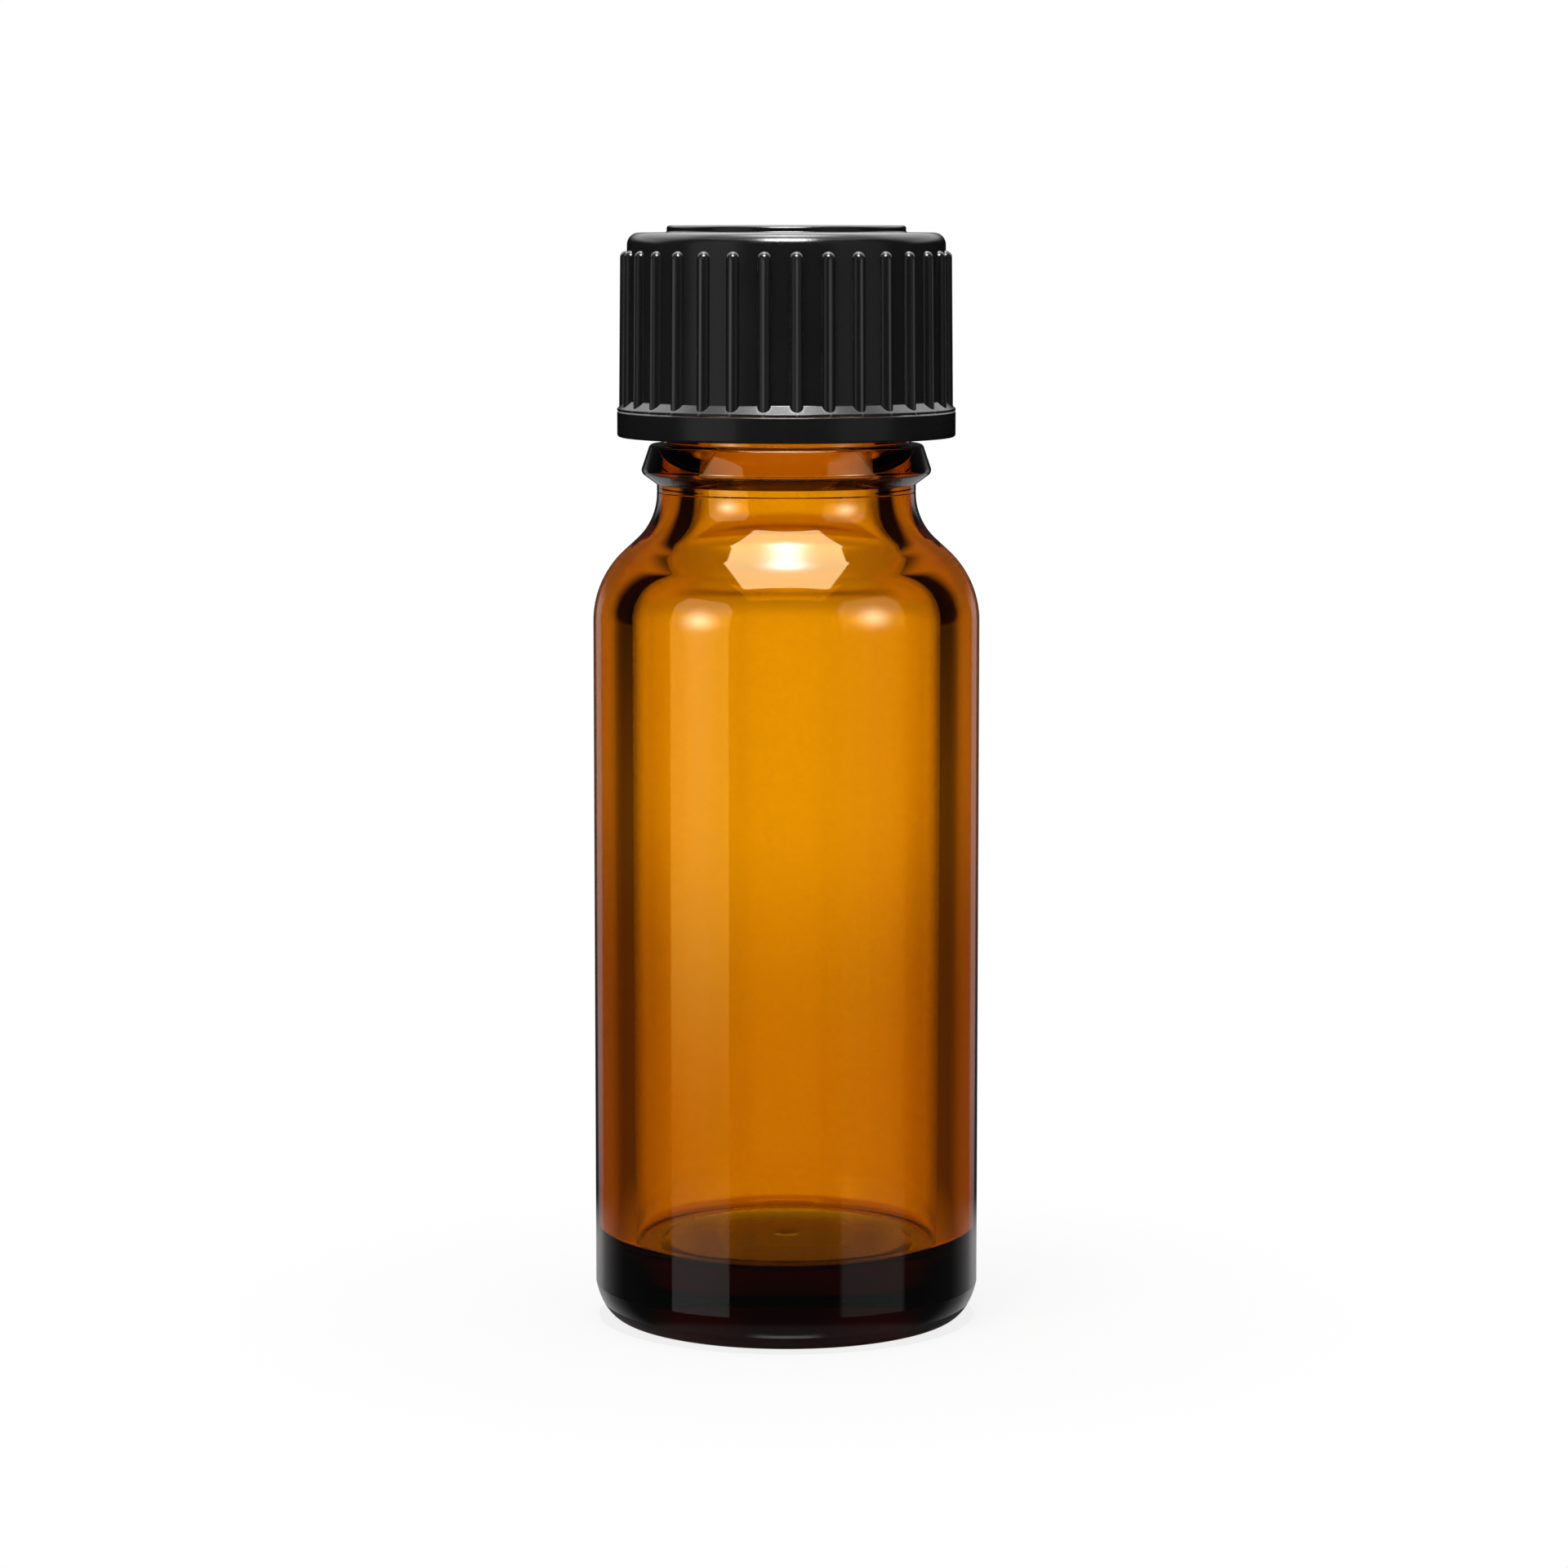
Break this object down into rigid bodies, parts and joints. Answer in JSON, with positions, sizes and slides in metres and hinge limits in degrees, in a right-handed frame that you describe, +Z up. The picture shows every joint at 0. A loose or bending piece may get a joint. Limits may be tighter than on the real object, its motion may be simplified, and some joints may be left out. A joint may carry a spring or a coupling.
{
  "type": "apothecary bottle",
  "caption": "Amber glass dropper bottle with a push-in dropper insert, a ribbed black screw cap and a loose tamper-evident band; the cap unscrews upwards.",
  "frame": {"origin": "centre of the circle that the bottle stands on, at the height of its foot", "axes": "+Z up along the axis of the bottle and of its thread; the picture looks along +Y, with +X to the right"},
  "size_m": [0.026, 0.026, 0.0739],
  "materials": {
    "amber_glass": "polished amber container glass, tinted through its whole thickness",
    "natural_polyethylene": "natural low-density polyethylene, milky and waxy",
    "black_cap_plastic": "moulded black polypropylene, satin to glossy",
    "black_band_plastic": "moulded black polypropylene, satin"
  },
  "bodies": {
    "bottle": {"glass_bottle": "amber_glass", "dropper_insert": "natural_polyethylene"},
    "band": {"tamper_band": "black_band_plastic"},
    "cap": {"screw_cap": "black_cap_plastic"}
  },
  "joints": [
    {"name": "cap_turn", "type": "hinge", "parent": "bottle", "child": "band", "pos_m": [0, 0, 0.0614], "axis": [0, 0, 1], "range_deg": [0, 1440]},
    {"name": "cap_lift", "type": "slide", "parent": "band", "child": "cap", "axis": [0, 0, 1], "range_m": [0, 0.0122]}
  ],
  "couplings": [
    {"joint": "cap_lift", "follows": "cap_turn", "m_per_rad": 0.00047746}
  ]
}
